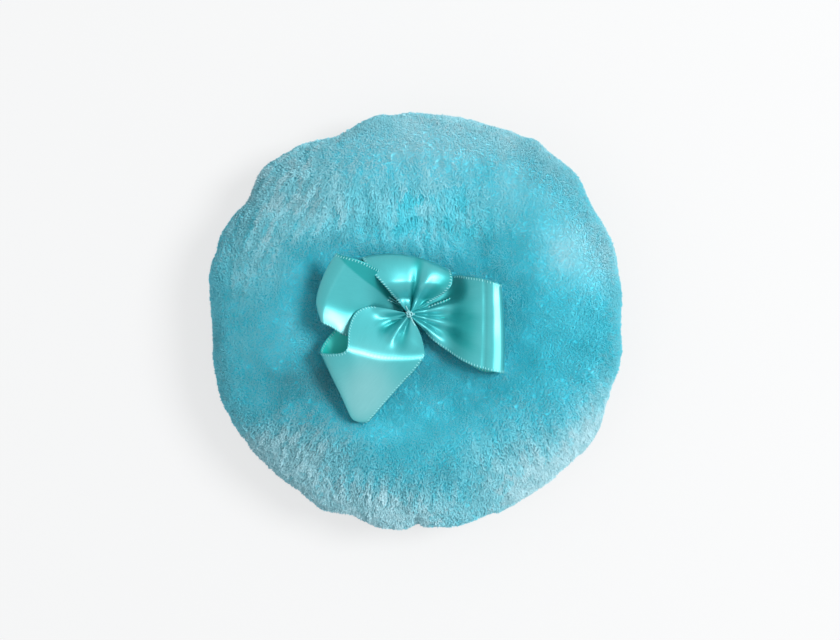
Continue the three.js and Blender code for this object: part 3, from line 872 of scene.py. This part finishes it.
def loopSurface(loop, length, side):
    reach, settle = loop["reach"], loop["settle"]
    tilt = math.radians(loop["tilt"])
    rootHeight = waistHeight + loop["layer"] * ribbon["layerRise"]
    endHeight = float(pileTop(reach * mm)) / mm + ribbon["width"] / 2 * math.sin(abs(tilt))
    endHeight += ribbon["solidThickness"] + ribbon["endClearance"]
    along = (1 - np.cos(2 * math.pi * length)) / 2
    upper = length < 0.5
    onUpper = np.clip(1 - 2 * length, 0, None)
    onFace = smooth(onUpper * ribbon["faceFade"])
    settled = smooth(along / settle)
    fan = 1 - np.clip(1 - along / loop["spread"], 0, None) ** (2 - loop["spread"])

    # the upper ply climbs to a crest, with a flat facet there, and falls round the fold
    crest, facet = loop["crest"] + loop["crestSlant"] * side, loop["crestFacet"]
    roll = 0.5 + dome(np.clip(along - crest, 0, None), 1 - crest, 0.5, 2)
    openSlant, openCurve = loop["openSlant"]
    opening = loop["opening"] * (1 + openSlant * side + openCurve * side ** 2)
    climbed = np.clip(along / (crest - facet), 0, 1)
    settling = np.clip(crest / settle, 0, 1)
    fall = (rootHeight - endHeight) * 6 * settling * (1 - settling) / settle
    facetSlope, facetTurn = ribbon["facetSlope"]
    ledge = ((facetSlope + facetTurn * side) * reach + fall) / opening
    slope = 1 - 0.5 * np.clip((along - crest) / (1 - crest), 0, 1) ** ribbon["fallPower"]
    run, rush, sharp = loop["crestRun"], loop["rush"], loop["sharp"]
    climb = smooth(climbed * run) / smooth(run) * (1 - rush) + climbed ** ribbon["rushPower"] * rush
    climb = climb * (1 - ledge * facet) + ledge * np.clip(along - crest + facet, 0, None)
    climb = np.where(along < crest, climb, roll * (1 - sharp) + np.minimum(slope, roll) * sharp)
    opened = np.where(upper, climb, np.where(along < crest, 0, 1 - roll))

    # one edge may be cupped up
    cupEnd, cupOver = ribbon["cupEnd"]
    cupShare = smooth(along / ribbon["cupRise"]) * (1 - smooth((length - cupEnd) / cupOver))
    cupSide = (side - loop["cupFrom"]) / (1 - loop["cupFrom"])
    cupSide = (cupSide + np.sqrt(cupSide ** 2 + (ribbon["cupSoft"] * along) ** 2)) / 2
    cup = (loop["cup"] + loop["ramp"] * along ** ribbon["rampPower"]) * cupSide * cupShare

    # the upper ply keeps to its drawn edges, the under ply fans out to meet them at the fold
    arch = 4 * along * (1 - along)
    swung = np.where(upper, 0, arch)
    rightEdge, leftEdge = (smoothCurve(edge, along) for edge in loop["edges"])
    leftward = smooth((side + ribbon["edgeBlend"]) / (2 * ribbon["edgeBlend"]))
    edge = rightEdge * (1 - leftward) + leftEdge * leftward
    ends = loop["edges"][0][-1][1] * (1 - leftward) + loop["edges"][1][-1][1] * leftward
    below = ribbon["rootWidth"] / 2 + (ends - ribbon["rootWidth"] / 2) * fan
    across = np.where(upper, side * edge, side * below + loop["swing"] * swung)
    bulge = (loop["foldSlant"] - loop["foldBulge"] * side) * side
    bulge = bulge - loop["tipRound"] * np.clip(side - 0.5, 0, None) ** 2
    out = ribbon["rootRadius"] + (reach - ribbon["rootRadius"]) * along + along * bulge

    # pleats run straight out from the knot
    ray, radius = np.degrees(np.arctan2(across, out)), np.hypot(across, out)
    pleat, fold = np.zeros_like(along), np.zeros_like(along)
    ended = 1 - smooth((radius - loop["pleatEnd"]) / ribbon["pleatFade"])
    for place, wide, high, far in loop["rays"]:
        ridge = high * np.exp(-((ray - place) / wide) ** 2)
        pleat = pleat + ridge * (radius / far * np.exp(1 - radius / far)) ** ribbon["pleatPower"] * ended
        fold = fold + ridge

    # ripples, the fall of the fold, lifted edges and the tuck shape the upper face
    facetFrom, facetFall = loop["facet"]
    shaped = -facetFall * reach * np.clip(along - facetFrom, 0, None)
    for place, wide, high in loop["ripples"]:
        shaped = shaped + high * np.exp(-((along - place) / wide) ** 2)
    shaped = shaped + np.where(side < 0, *loop["lift"]) * side ** 2 * arch
    tuckFrom, tuckSlant, tuckFall = loop["tuck"]
    tucked = smooth((-across - tuckFrom - tuckSlant * out) / ribbon["tuckWidth"]) * (tuckFall > 0)
    shaped = shaped - tuckFall * tucked * smooth(along / ribbon["tuckRise"])
    swingFrom, swingOver = ribbon["swingFrom"]
    lifted = loop["swingLift"] * swung * smooth((along - swingFrom) / swingOver)
    lifted = lifted * np.clip(side, 0, None) ** 2
    rise = ribbon["plyStep"] * (1 - length) + opening * opened + pleat * onUpper
    rise = rise + underGathers(side, fan, length) + cup + shaped * onFace + lifted

    # the upper ply runs in over the winding to the knot
    drawn = loop["drawn"] * np.where(upper, 1 - smooth(along * reach / ribbon["drawnReach"]), 0)
    out = out * (1 - drawn) + ribbon["centreRadius"] * drawn
    across = across * (1 - ribbon["drawnNarrow"] * drawn)
    turn = tilt * settled
    left = across * np.cos(turn) - rise * (np.sin(turn) - loop["shear"] * settled)
    height = rootHeight + (endHeight - rootHeight) * settled + across * np.sin(turn) + rise * np.cos(turn)
    height = height * (1 - drawn) + (ribbon["centreHeight"] + fold * ribbon["drawnFold"]) * drawn
    heading = math.radians(loop["heading"])
    x = out * math.cos(heading) - left * math.sin(heading)
    y = out * math.sin(heading) + left * math.cos(heading)

    # painted shade in the pleat valleys, on the tucked strip and in the right loop's valley, and painted
    # pale sheen on the left and lower loops' faces
    sheen = 0.5 - ribbon["pleatPaintedShade"] * np.clip(-pleat, 0, 1) * onFace - ribbon["tuckPaintedShade"] * tucked
    for (place, wide), (at, high), step in loop["shadeAndSheenPatches"]:
        apart = ((along - place) / wide) ** 2 + ((side - at) / high) ** 2
        sheen = sheen + step * np.exp(-apart ** ribbon["shadeAndSheenPower"]) * onFace
    return np.stack([x, y, height], -1) * mm, np.clip(sheen, 0, 1)


def gridNormals(points):
    first, second = np.gradient(points, axis=0), np.gradient(points, axis=1)
    normal = np.cross(first, second)
    return normal / np.maximum(np.linalg.norm(normal, axis=-1, keepdims=True), 1e-12)


def ribbonMesh(name, loop):
    rows, columns = ribbon["rows"], ribbon["columns"]
    length, side = np.meshgrid(np.linspace(0, 1, rows), np.linspace(-1, 1, columns), indexing="ij")
    middle, sheen = loopSurface(loop, length, side)
    normal = gridNormals(middle)
    stand = normal * (ribbon["thickness"] * mm / 2)
    points = np.concatenate([(middle + stand).reshape(-1, 3), (middle - stand).reshape(-1, 3)])
    count = rows * columns
    upper = gridFaces(rows, columns)
    faces = upper + [tuple(count + i for i in reversed(f)) for f in upper]
    border = list(range(columns)) + [r * columns + columns - 1 for r in range(1, rows)]
    border += [(rows - 1) * columns + c for c in range(columns - 2, -1, -1)]
    border += [r * columns for r in range(rows - 2, 0, -1)]
    for here, after in zip(border, border[1:] + border[:1]):
        faces.append((after, here, count + here, count + after))
    mesh = meshFrom(name, points, faces)
    steps = np.linalg.norm(np.diff(middle, axis=0), axis=-1)
    flatLength = float(np.mean(np.sum(steps, axis=0)))
    # the reverse is matt, out from the gathers
    mattFrom, mattOver = ribbon["reverseFrom"]
    inside = smooth((0.5 - 0.5 * np.cos(2 * math.pi * length) - mattFrom) / mattOver)
    setAttribute(mesh, "sheen", np.tile(sheen.ravel(), 2))
    setAttribute(mesh, "reverse", np.concatenate([np.zeros(count), inside.ravel()]))
    u = np.tile((side * ribbon["width"] / 2 * mm).ravel(), 2)
    v = np.tile((length * flatLength).ravel(), 2)
    layer = mesh.uv_layers.new(name="ribbonUV")
    index = np.empty(len(mesh.loops), np.int32)
    mesh.loops.foreach_get("vertex_index", index)
    layer.data.foreach_set("uv", np.stack([u[index], v[index]], -1).astype(np.float32).ravel())
    smoothFaces(mesh)
    return mesh, flatLength, middle, normal


def satinRibbon():
    wire = newMaterial("satinRibbon")
    place = wire.node("ShaderNodeUVMap", {"uv_map": "ribbonUV"})
    threads = (place * ribbon["threadRate"]).noise(1.0, 2.0)
    weave = threads * 0.6 + place.noise(160.0, 2.0) * 0.4
    edgeFrom, edgeTo = ribbon["selvedgeFrom"]
    selvedge = wire.node("ShaderNodeMapRange", {"interpolation_type": "SMOOTHSTEP"}, {
        "Value": place.part("X").apply("ABSOLUTE"), "From Min": edgeFrom * mm, "From Max": edgeTo * mm})
    sheen, reverse = wire.painted("sheen"), wire.painted("reverse")
    # the satin's colour follows the painted shade and sheen
    face = weave.mix(sheen.ramp(ribbon["satinDark"]), sheen.ramp(ribbon["satinLight"]))
    # the reverse is matt, and its lighter dye is painted fill light inside the loops
    body = reverse.mix(face, weave.mix(*ribbon["reverseDyeAndFill"]))
    # the coat is weaker where shade is painted
    gloss = wire.node("ShaderNodeMapRange", values={
        "Value": sheen, "From Max": 0.5, "To Min": 0.2, "To Max": 0.8})
    return finishSurface(wire, {
        "Base Color": (selvedge * 0.35).mix(body, ribbon["selvedgeDye"]),
        "Normal": threads.bump(0.02 * mm, 0.35), "Roughness": 0.42 + threads * 0.1 + selvedge * 0.1,
        "Metallic": 0.64 - reverse * 0.5,
        "Specular IOR Level": 0.5, "Coat Weight": (1 - reverse) * gloss, "Coat Roughness": 0.3})


def selvedgeThread():
    wire = newMaterial("selvedgeThread")
    fine = wire.objectPlace().noise(2500.0, 1.0)
    return finishSurface(wire, {
        "Base Color": fine.mix(*ribbon["tickDye"]), "Roughness": 0.35 + fine * 0.2, "Metallic": 0.15,
        "Specular IOR Level": 0.6})


def evenLine(given):
    start = given["Geometry"]
    line = start.node("GeometryNodeMeshToCurve", values={"Mesh": start})
    values = {"Curve": line, "Length": given["Spacing"]}
    return start.node("GeometryNodeResampleCurve", {"mode": "LENGTH"}, values)


def tickTree():
    tree, given = geometryTree("selvedgeTicks", {"Spacing": "Float", "Tick": "Object", "Size": "Vector"})
    line = evenLine(given)
    turned = line.node("FunctionNodeAlignRotationToVector", {"axis": "X"}, {"Vector": line.named("across")})
    turned = line.node("FunctionNodeAlignRotationToVector", {"axis": "Z", "pivot_axis": "X"}, {
        "Rotation": turned, "Vector": line.named("face")})
    tick = line.node("GeometryNodeObjectInfo", values={"Object": given["Tick"]}, out="Geometry")
    ticks = line.node("GeometryNodeInstanceOnPoints", values={
        "Points": line, "Instance": tick, "Rotation": turned, "Scale": given["Size"]})
    closeTree(tree, given, line.node("GeometryNodeRealizeInstances", values={"Geometry": ticks}))
    return tree


def tickShape():
    bm = bmesh.new()
    bmesh.ops.create_icosphere(bm, subdivisions=1, radius=0.5)
    mesh = bpy.data.meshes.new("selvedgeTick")
    bm.to_mesh(mesh)
    bm.free()
    return bpy.data.objects.new("selvedgeTick", mesh)


def edgeLines(name, middle, normal):
    # a line just inside each edge of the ribbon
    share = ribbon["tickInset"] / ribbon["width"] * (ribbon["columns"] - 1)
    keep = slice(ribbon["tickRows"], ribbon["rows"] - ribbon["tickRows"])
    points, edges, across, face = [], [], [], []
    for first, second in ((0, 1), (-1, -2)):
        way = (middle[:, second] - middle[:, first])[keep]
        count = len(points)
        points += list(middle[:, first][keep] + way * share)
        across += list(way)
        face += list(normal[:, first][keep])
        edges += [(i, i + 1) for i in range(count, len(points) - 1)]
    mesh = meshFrom(name, points, [], edges)
    setAttribute(mesh, "across", across, "FLOAT_VECTOR")
    setAttribute(mesh, "face", face, "FLOAT_VECTOR")
    return mesh


def tieBow():
    satin, edging = satinRibbon(), selvedgeThread()
    tree, tick = tickTree(), tickShape()
    laid = []
    for side, own in loops.items():
        loop = {**plainLoop, **own}
        mesh, flatLength, middle, normal = ribbonMesh(side + "Ribbon", loop)
        piece = newObject(side + "Ribbon", mesh, satin)
        laid.append(middle.reshape(-1, 3))
        ticks = grown(side + "Selvedge", edgeLines(side + "Edges", middle, normal), tree, {
            "Spacing": ribbon["tickSpacing"] * mm, "Tick": tick,
            "Size": [s * mm for s in ribbon["tickSize"]]}, edging, ("across", "face"))
        smoothFaces(ticks.data)
        node = side + "_loop"
        for part in (piece, ticks):
            if side == "left":
                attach(part, "bow")
            else:
                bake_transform(part)
        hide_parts(node)
        share = sum(p.area for p in mesh.polygons) / 2 / (ribbon["width"] * mm * flatLength)
        print(side, "loop: ribbon length %.1f mm, area share %.2f" % (flatLength / mm, share))
    print("bow tied")
    return np.concatenate(laid)


bowSurface = tieBow()


# thread: two plies twisted along each sewn path

thread = {
    "spacing": 0.18 * mm,
    "plyShare": 0.3,  # of the thread's width, as the next two
    "plyOffset": 0.2,
    "twistShare": 3.2,
    "plySides": 6,
    "paleDye": ((0.18, 0.54, 0.57), (0.36, 0.74, 0.76)),
    "seamDye": ((0.07, 0.46, 0.52), (0.16, 0.62, 0.68)),
    # paths, in mm and degrees
    "gather": {"size": 0.5, "radius": 1.0, "turns": 4, "pitch": 1.05, "start": 25.675,
               "tails": (24.925, 30.875)},
    "knot": {"size": 0.36, "radius": 0.46, "tube": 0.26, "height": 31.5, "clear": (0.9, 0.35), "points": 61},
    "strandNear": 0.45,
    "strandLift": 0.1,
    "strand": [(-0.85, 1.9), (-0.5, 1.2), (-0.1, 0.4), (0.2, -0.4), (0.55, -1.3), (0.9, -2.0), (1.3, -2.7)],
    "anchor": {"size": 0.9, "low": 15.7, "high": 27.05},
    "anchorKnot": {"size": 0.5, "radius": 1.5, "height": 14.05, "turns": 9, "end": 0.04, "points": 260},
    "rimSeam": {"size": 0.5, "radius": 39.2, "swing": 0.9, "stitch": 7.0, "from": 23, "to": 337},
    "closing": {"size": 0.5, "radius": 39.2, "swing": 0.9, "stitch": 5.0, "from": -21, "to": 21},
}


def threadTree():
    tree, given = geometryTree("twistedThread", dict.fromkeys(
        ("Spacing", "Ply Radius", "Ply Offset", "Twist Length"), "Float"))
    line = evenLine(given)
    across = line.node("GeometryNodeInputNormal")
    beside = line.node("GeometryNodeInputTangent").apply("CROSS_PRODUCT", across)
    run = line.node("GeometryNodeSplineParameter", out="Length")
    ring = line.node("GeometryNodeCurvePrimitiveCircle", {"mode": "RADIUS"}, {
        "Resolution": thread["plySides"], "Radius": given["Ply Radius"]})
    plies = []
    for ply in range(2):
        angle = run * (2 * math.pi / given["Twist Length"]) + ply * math.pi
        offset = (across * angle.apply("COSINE") + beside * angle.apply("SINE")) * given["Ply Offset"]
        laid = line.node("GeometryNodeSetPosition", values={"Geometry": line, "Offset": offset})
        values = {"Curve": laid, "Profile Curve": ring, "Fill Caps": True}
        plies.append(line.node("GeometryNodeCurveToMesh", values=values))
    joined = line.node("GeometryNodeJoinGeometry", values={"Geometry": plies})
    closeTree(tree, given, line.node("GeometryNodeRealizeInstances", values={"Geometry": joined}))
    return tree


def spunThread(name, dye):
    wire = newMaterial(name)
    fine = wire.objectPlace().noise(3200.0, 2.0)
    return finishSurface(wire, {
        "Base Color": fine.mix(*dye), "Normal": fine.bump(0.03 * mm, 0.5), "Roughness": 0.42 + fine * 0.2,
        "Specular IOR Level": 0.6, "Sheen Weight": 0.2})


def pathMesh(name, paths):
    points, edges = [], []
    for path in paths:
        first = len(points)
        points += [tuple(c * mm for c in p) for p in path]
        edges += [(i, i + 1) for i in range(first, len(points) - 1)]
    return meshFrom(name, points, [], edges)


def gatherPath():
    wound = thread["gather"]
    perTurn = 16
    step = np.arange(wound["turns"] * perTurn + 1)
    angle = step * 2 * math.pi / perTurn
    x, y = wound["radius"] * np.cos(angle), wound["radius"] * np.sin(angle)
    z = wound["start"] + wound["pitch"] * step / perTurn
    low, high = wound["tails"]
    return [(x[0], y[0], low), *zip(x, y, z), (x[-1], y[-1], high)]


def knotPaths():
    knot = thread["knot"]
    t = np.linspace(0, 2 * math.pi, knot["points"])
    wide = knot["radius"] + knot["tube"] * np.cos(3 * t)
    z = knot["height"] + knot["tube"] * np.sin(3 * t)
    tied = list(zip(wide * np.cos(2 * t), wide * np.sin(2 * t), z))
    # the strand runs on over the ribbon on both sides of the knot
    flat = bowSurface / mm
    clearOut, clearUp = knot["clear"]
    over = []
    for x, y in thread["strand"]:
        near = np.hypot(flat[:, 0] - x, flat[:, 1] - y) < thread["strandNear"]
        ground = flat[near, 2].max() if near.any() else knot["height"]
        if math.hypot(x, y) < clearOut:
            ground = max(ground, knot["height"] + clearUp)
        over.append((x, y, ground + thread["strandLift"]))
    return [tied, over]


def zigzagPath(seam):
    first, last = math.radians(seam["from"]), math.radians(seam["to"])
    stitches = round(seam["radius"] * (last - first) / seam["stitch"])
    path = []
    for step in range(stitches + 1):
        angle = first + (last - first) * step / stitches
        radius = seam["radius"] + seam["swing"] * (1 if step % 2 else -1)
        path.append((radius * math.cos(angle), radius * math.sin(angle), form["seamHeight"] / mm))
    return path


def ballPath():
    ball = thread["anchorKnot"]
    t = np.linspace(ball["end"], 1 - ball["end"], ball["points"])
    radius = ball["radius"] - ball["size"] / 2
    down, turn = math.pi * t, 2 * math.pi * ball["turns"] * t
    return list(zip(radius * np.sin(down) * np.cos(turn), radius * np.sin(down) * np.sin(turn),
                    ball["height"] + radius * np.cos(down)))


def sewThreads():
    tree = threadTree()
    pale, plain = spunThread("gatherThread", thread["paleDye"]), spunThread("seamThread", thread["seamDye"])
    shank = [(0, 0, thread["anchor"][end]) for end in ("low", "high")]
    rim, closing = zigzagPath(thread["rimSeam"]), zigzagPath(thread["closing"])
    for name, paths, kind, material, body, node, slot in (
            ("gatherWinding", [gatherPath()], "gather", pale, "bow", "gather_thread", "thread"),
            ("centreKnot", knotPaths(), "knot", pale, "bow", "centre_knot", "thread"),
            ("anchorThread", [shank], "anchor", plain, "puff", "anchor_thread", "thread"),
            ("anchorKnot", [ballPath()], "anchorKnot", plain, "puff", "anchor_knot", "thread"),
            ("rimSeam", [rim], "rimSeam", plain, "puff", "rim_seam_thread", "seam_thread"),
            ("closingSeam", [closing], "closing", plain, "puff", "closing_thread", "seam_thread")):
        size = thread[kind]["size"]
        piece = grown(name, pathMesh(name + "Path", paths), tree, {
            "Spacing": thread["spacing"], "Ply Radius": thread["plyShare"] * size * mm,
            "Ply Offset": thread["plyOffset"] * size * mm, "Twist Length": thread["twistShare"] * size * mm},
            material)
        faceOutwards(piece.data)
        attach(piece, body)
        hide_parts(node)
    print("threads sewn")


sewThreads()


# inside the puff: two knitted ground cloths sewn at the rim, and the fibrefill between them

lining = {
    "columns": 150,
    "clothRows": 30,
    "rowPower": 0.8,  # sets the rows closer towards the rim
    "hole": 0.75 * mm,
    "allowance": 36.5 * mm,
    "insideRim": 39.01 * mm,
    "seamHalf": 0.43 * mm,
    "waleSize": 0.9 * mm,
    "courseRate": 1.4,  # courses to a wale, and how far they follow its ribs
    "courseBend": 1.2,
    "knitDye": ((0.04, 0.42, 0.5), (0.1, 0.6, 0.68)),
    "padRows": 36,
    "padRim": 35.9 * mm,
    "padInset": 1.3 * mm,
    "padWell": (2.1 * mm, 12.25 * mm),  # radius, and height of its floor
    "padDye": ((0.72, 0.73, 0.72), (0.88, 0.88, 0.87)),
    "lumpHeight": 0.2 * mm,
    "lumpWidth": 9 * mm,
    "lumps": 14,
    "cutRadius": 48.5 * mm,
    "fill": 0.7,
    "seed": 7,
}


def turnedMesh(name, profile, closed, push=None):
    angle = np.linspace(0, 2 * math.pi, lining["columns"], endpoint=False)
    r, z = np.array(profile, float).T
    points = np.stack([r[:, None] * np.cos(angle), r[:, None] * np.sin(angle), z[:, None] + 0 * angle], -1)
    if push is not None:
        points = points + push(points)
    rows, columns = points.shape[:2]
    faces = gridFaces(rows, columns, True)
    if closed:
        last = (rows - 1) * columns
        faces += [(last + c, last + (c + 1) % columns, (c + 1) % columns, c) for c in range(columns)]
    mesh = meshFrom(name, points.reshape(-1, 3), faces)
    faceOutwards(mesh, True)
    return mesh


def knitCloth():
    wire = newMaterial("knitCloth")
    place = wire.objectPlace()
    rate = 2 * math.pi / lining["waleSize"]
    rib = (place.part("X") * rate).apply("SINE")
    course = (place.part("Y") * rate * lining["courseRate"] + rib * lining["courseBend"]).apply("SINE")
    fine = place.noise(1800.0, 2.0)
    knit = rib * 0.25 + course * 0.25 + 0.5
    return finishSurface(wire, {
        "Base Color": (knit * 0.7 + fine * 0.3).mix(*lining["knitDye"]),
        "Normal": (knit + fine * 0.4).bump(0.12 * mm, 0.7), "Roughness": 0.8 + fine * 0.15,
        "Sheen Weight": 0.2})


def fibrefill():
    wire = newMaterial("fibrefill")
    place = wire.objectPlace()
    strands = (place + place.noise(120.0, 2.0, "Color") * 0.03).noise(700.0, 4.0)
    return finishSurface(wire, {
        "Base Color": strands.mix(*lining["padDye"]), "Normal": strands.bump(0.6 * mm, 0.8),
        "Roughness": 0.85 + strands * 0.1, "Sheen Weight": 0.3})


def padLumps(points):
    rng = np.random.default_rng(lining["seed"])
    lump = np.zeros(points.shape[:2])
    for _ in range(lining["lumps"]):
        way = rng.normal(size=3) / lining["lumpWidth"]
        lump += np.sin(points @ way + rng.uniform(0, 6.28)) / math.sqrt(lining["lumps"])
    return np.stack([0 * lump, 0 * lump, np.clip(lump, -1, 1) * lining["lumpHeight"]], -1)


def fillPuff():
    knit = knitCloth()
    thick, hole, rim, edge = form["clothThickness"], lining["hole"], lining["insideRim"], lining["allowance"]
    seat, seatLow = form["seamHeight"] + lining["seamHalf"], form["seamHeight"] - lining["seamHalf"]
    spread = np.linspace(0, 1, lining["clothRows"]) ** lining["rowPower"]
    within, over = hole + (rim - hole) * spread, hole + (clothRadius - hole) * spread
    topLine = list(zip(within, clothTop(within, thick)))
    topLine += [(rim, seat + thick), (edge, seat + thick), (edge, seat)]
    topLine += list(zip(over, np.maximum(seat, clothTop(over))))[::-1]
    under, inside = clothRadius * spread, rim * spread
    lowLine = list(zip(under, np.minimum(seatLow, clothBottom(under))))
    lowLine += [(edge, seatLow), (edge, seatLow - thick), (rim, seatLow - thick)]
    lowLine += list(zip(inside, clothBottom(inside, thick)))[::-1]
    for name, line, closed, node in (("topGroundCloth", topLine, True, "top_ground_cloth"),
                                     ("bottomGroundCloth", lowLine, False, "bottom_ground_cloth")):
        cloth = newObject(name, turnedMesh(name, line, closed), knit)
        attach(cloth, "puff")
        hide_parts(node)
    inset, rows = lining["padInset"], lining["padRows"]
    wellRadius, wellFloor = lining["padWell"]
    low = lining["padRim"] * np.linspace(0, 1, rows)
    high = np.linspace(lining["padRim"], wellRadius, rows)
    padLine = list(zip(low, clothBottom(low, inset))) + list(zip(high, clothTop(high, inset)))
    padLine += [(wellRadius, wellFloor), (0, wellFloor)]
    pad = newObject("fibrefillPad", turnedMesh("fibrefillPad", padLine, False, padLumps), fibrefill())
    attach(pad, "puff")
    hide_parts("fibrefill_pad")
    print("ground cloths and fibrefill in place")


fillPuff()


# floor, soft light and the camera over the puff

studio = {
    "floorSize": 6.0,
    "floorColour": (0.7, 0.7, 0.7),
    "floorGlow": 0.72,  # the rest takes the puff's shadow
    "backdrop": (0.945, 0.945, 0.945),
    "skyColour": (0.93, 0.97, 1.0),
    "skyStrength": 0.68,
    # place, size and watts
    "lamps": {"keyLamp": ((0.53, 0.12, 0.72), 0.36, 7.0), "fillLamp": ((-0.5, -0.35, 0.7), 0.7, 0.6)},
    "lens": 70.0,
    "sensor": 36,
    "nearest": 0.01,
    "distance": 0.3972,
    "lean": (0.030, -0.021),  # how far the camera stands off the vertical
    "aim": (1.9 * mm, -1.0 * mm, 13 * mm),
}


def hang(name, data, place, rotation):
    holder = bpy.data.objects.new(name, data)
    scene.collection.objects.link(holder)
    holder.location = place
    holder.rotation_euler = rotation
    return holder


def seenDirectly(wire):
    # by the camera, in gloss or through glass
    first, second, third = (wire.node("ShaderNodeLightPath", out=ray)
                            for ray in ("Is Camera Ray", "Is Glossy Ray", "Is Transmission Ray"))
    return (first + second + third).clamp()


def layFloor():
    half = studio["floorSize"] / 2
    corners = [(-half, -half, 0), (half, -half, 0), (half, half, 0), (-half, half, 0)]
    wire = newMaterial("floorPaper")
    lit = wire.node("ShaderNodeBsdfDiffuse", values={"Color": studio["floorColour"]})
    glow = wire.node("ShaderNodeEmission", values={"Color": studio["backdrop"], "Strength": 1.0})
    share = seenDirectly(wire) * studio["floorGlow"]
    material = closeMaterial(wire, wire.node("ShaderNodeMixShader", values={0: share, 1: lit, 2: glow}))
    floor = newObject("floor", meshFrom("floor", corners, [(0, 1, 2, 3)]), material)


def setStudio():
    layFloor()
    world = bpy.data.worlds.new("studio")
    scene.world = world
    world.use_nodes = True
    world.node_tree.nodes.clear()
    wire = Wire(world.node_tree)
    sky = {"Color": studio["skyColour"], "Strength": studio["skyStrength"]}
    white = {"Color": studio["backdrop"], "Strength": 1.0}
    soft, pale = (wire.node("ShaderNodeBackground", values=values) for values in (sky, white))
    mixed = wire.node("ShaderNodeMixShader", values={0: seenDirectly(wire), 1: soft, 2: pale})
    wire.node("ShaderNodeOutputWorld", values={"Surface": mixed})

    aim = Vector(studio["aim"])
    for name, (place, size, watts) in studio["lamps"].items():
        lamp = bpy.data.lights.new(name, "AREA")
        lamp.shape = "DISK"
        lamp.size = size
        lamp.energy = watts
        hang(name, lamp, place, (aim - Vector(place)).to_track_quat("-Z", "Y").to_euler())

    camera = bpy.data.cameras.new("camera")
    camera.lens = studio["lens"]
    camera.sensor_width = studio["sensor"]
    camera.clip_start = studio["nearest"]
    back = Vector((*studio["lean"], 1)).normalized()
    right = Vector((0, 1, 0)).cross(back).normalized()
    turn = Matrix((right, back.cross(right), back)).transposed().to_euler()
    scene.camera = hang("camera", camera, aim + back * studio["distance"], turn)
    print("studio set")


setStudio()
